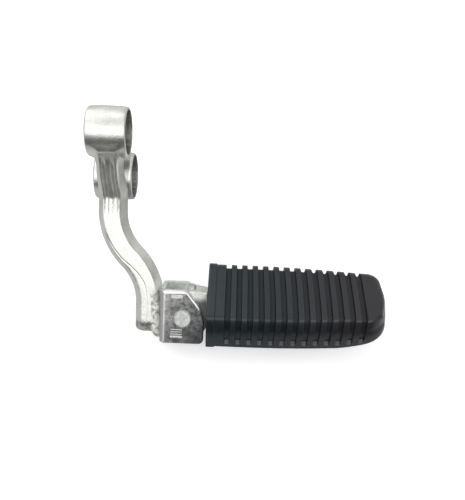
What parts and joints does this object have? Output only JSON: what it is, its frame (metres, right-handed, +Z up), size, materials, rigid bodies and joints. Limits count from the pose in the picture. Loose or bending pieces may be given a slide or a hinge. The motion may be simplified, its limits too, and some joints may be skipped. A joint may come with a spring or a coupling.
{
  "type": "motorcycle folding footrest hanger",
  "caption": "Forged steel hanger arm with paired mounting eyes and a welded clevis, carrying a folding footrest with a ribbed rubber pad.",
  "frame": {"origin": "centre of the upper eye's bore", "axes": "+X outboard along the eye bores and the footrest, +Y rearward, +Z up, square to the tread at rest"},
  "size_m": [0.1786, 0.1018, 0.1214],
  "materials": {
    "arm_zinc": "bright zinc plate over a grainy forging",
    "bracket_zinc": "bright zinc plate on folded sheet, lightly scuffed",
    "weld_steel": "plated weld bead",
    "pin_steel": "dull zinc plate",
    "fastener_zinc": "zinc plate",
    "core_iron": "plated as-cast skin",
    "pad_rubber": "satin moulded rubber"
  },
  "bodies": {
    "hanger": {"hanger_arm": "arm_zinc", "clevis_bracket": "bracket_zinc", "weld_bead": "weld_steel", "pivot_pin": "pin_steel", "pin_washer": "fastener_zinc", "split_pin": "fastener_zinc"},
    "footrest": {"footrest_core": "core_iron", "footrest_rubber": "pad_rubber", "pad_bolts": "fastener_zinc", "pad_washers": "fastener_zinc"}
  },
  "joints": [
    {"name": "footrest_fold", "type": "hinge", "parent": "hanger", "child": "footrest", "pos_m": [0.04535, -0.06361, -0.0867], "axis": [0, -0.766, 0.6428], "range_deg": [0, 45]}
  ]
}
